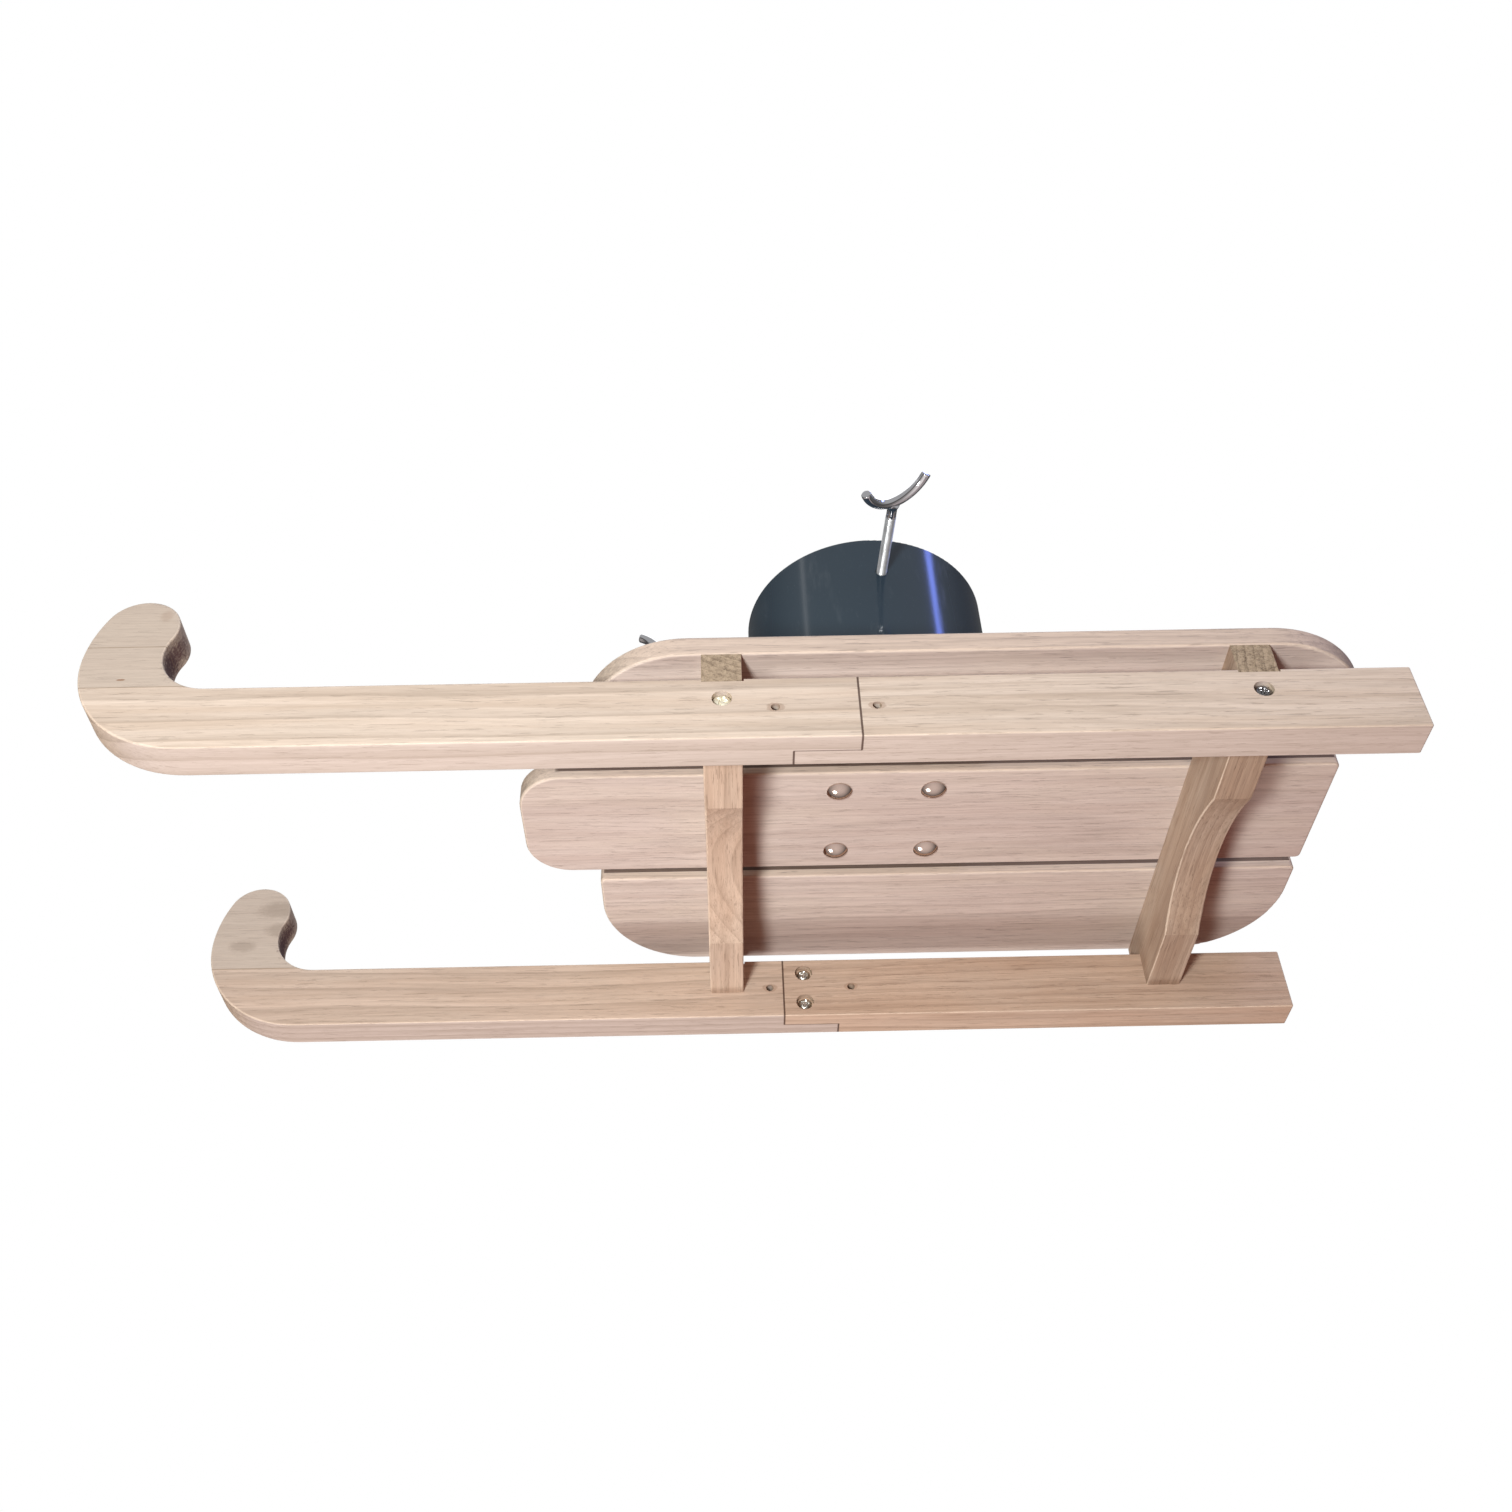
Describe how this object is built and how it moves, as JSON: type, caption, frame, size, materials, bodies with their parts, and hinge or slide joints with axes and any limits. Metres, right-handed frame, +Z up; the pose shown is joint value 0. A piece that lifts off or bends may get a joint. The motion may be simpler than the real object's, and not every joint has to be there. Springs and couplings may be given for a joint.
{
  "type": "wooden sled tree stand",
  "caption": "Decorative wooden sled with curled runners, arched crossbeams and a slatted deck that carries a clamp cup for a small tree.",
  "frame": {"origin": "on the floor, midway along the sled and midway between the runners", "axes": "+X from the curled noses to the tail, +Y to the right of a rider who faces the noses, +Z up"},
  "size_m": [0.658, 0.2752, 0.214],
  "materials": {
    "runner_wood": "planed, bare, weathered grey-beige",
    "beam_wood": "planed, bare, darker than the runners",
    "deck_wood": "planed, bare, pinkish grey-beige",
    "zinc_screw": "zinc plated",
    "cup_plastic": "glossy blue-black",
    "bolt_nickel": "nickel plated",
    "nut_zinc": "zinc plated",
    "clamp_chrome": "bright chrome",
    "foot_rubber": "matt black"
  },
  "bodies": {
    "root": {"runner_front_left": "runner_wood", "runner_front_right": "runner_wood", "nose_block_left": "runner_wood", "nose_cap_left": "runner_wood", "nose_block_right": "runner_wood", "runner_rear_left": "runner_wood", "runner_rear_right": "runner_wood", "crossbeam_front": "beam_wood", "crossbeam_rear": "beam_wood", "deck_slat_left": "deck_wood", "deck_slat_middle": "deck_wood", "deck_slat_right": "deck_wood", "lap_screws_left": "zinc_screw", "lap_screws_right": "zinc_screw", "beam_screws_front": "zinc_screw", "beam_screws_rear": "zinc_screw", "deck_screws_front": "zinc_screw", "deck_screws_rear": "zinc_screw", "tree_cup": "cup_plastic", "cup_bolts": "bolt_nickel", "cup_washers": "nut_zinc", "cup_nuts": "nut_zinc", "clamp_nuts": "nut_zinc"},
    "clamp_foot_left": {"clamp_foot_left": "foot_rubber"},
    "clamp_screw_left": {"clamp_screw_left": "clamp_chrome"},
    "clamp_foot_front": {"clamp_foot_front": "foot_rubber"},
    "clamp_screw_front": {"clamp_screw_front": "clamp_chrome"},
    "clamp_foot_right": {"clamp_foot_right": "foot_rubber"},
    "clamp_screw_right": {"clamp_screw_right": "clamp_chrome"},
    "clamp_foot_rear": {"clamp_foot_rear": "foot_rubber"},
    "clamp_screw_rear": {"clamp_screw_rear": "clamp_chrome"}
  },
  "joints": [
    {"name": "left_clamp_travel", "type": "slide", "parent": "root", "child": "clamp_foot_left", "axis": [-0.061, 0.9981, 0], "range_m": [-0.011, 0.037]},
    {"name": "left_clamp_turn", "type": "hinge", "parent": "clamp_foot_left", "child": "clamp_screw_left", "pos_m": [0.08, 0, 0.1852], "axis": [-0.061, 0.9981, 0], "range_deg": [-3960, 13320]},
    {"name": "front_clamp_travel", "type": "slide", "parent": "root", "child": "clamp_foot_front", "axis": [0.9981, 0.061, 0], "range_m": [-0.007, 0.041]},
    {"name": "front_clamp_turn", "type": "hinge", "parent": "clamp_foot_front", "child": "clamp_screw_front", "pos_m": [0.08, 0, 0.1852], "axis": [0.9981, 0.061, 0], "range_deg": [-2520, 14760]},
    {"name": "right_clamp_travel", "type": "slide", "parent": "root", "child": "clamp_foot_right", "axis": [0.061, -0.9981, 0], "range_m": [-0.011, 0.037]},
    {"name": "right_clamp_turn", "type": "hinge", "parent": "clamp_foot_right", "child": "clamp_screw_right", "pos_m": [0.08, 0, 0.1852], "axis": [0.061, -0.9981, 0], "range_deg": [-3960, 13320]},
    {"name": "rear_clamp_travel", "type": "slide", "parent": "root", "child": "clamp_foot_rear", "axis": [-0.9981, -0.061, 0], "range_m": [-0.011, 0.037]},
    {"name": "rear_clamp_turn", "type": "hinge", "parent": "clamp_foot_rear", "child": "clamp_screw_rear", "pos_m": [0.08, 0, 0.1852], "axis": [-0.9981, -0.061, 0], "range_deg": [-3960, 13320]}
  ],
  "couplings": [
    {"joint": "left_clamp_travel", "follows": "left_clamp_turn", "m_per_rad": 0.00015915},
    {"joint": "front_clamp_travel", "follows": "front_clamp_turn", "m_per_rad": 0.00015915},
    {"joint": "right_clamp_travel", "follows": "right_clamp_turn", "m_per_rad": 0.00015915},
    {"joint": "rear_clamp_travel", "follows": "rear_clamp_turn", "m_per_rad": 0.00015915}
  ]
}
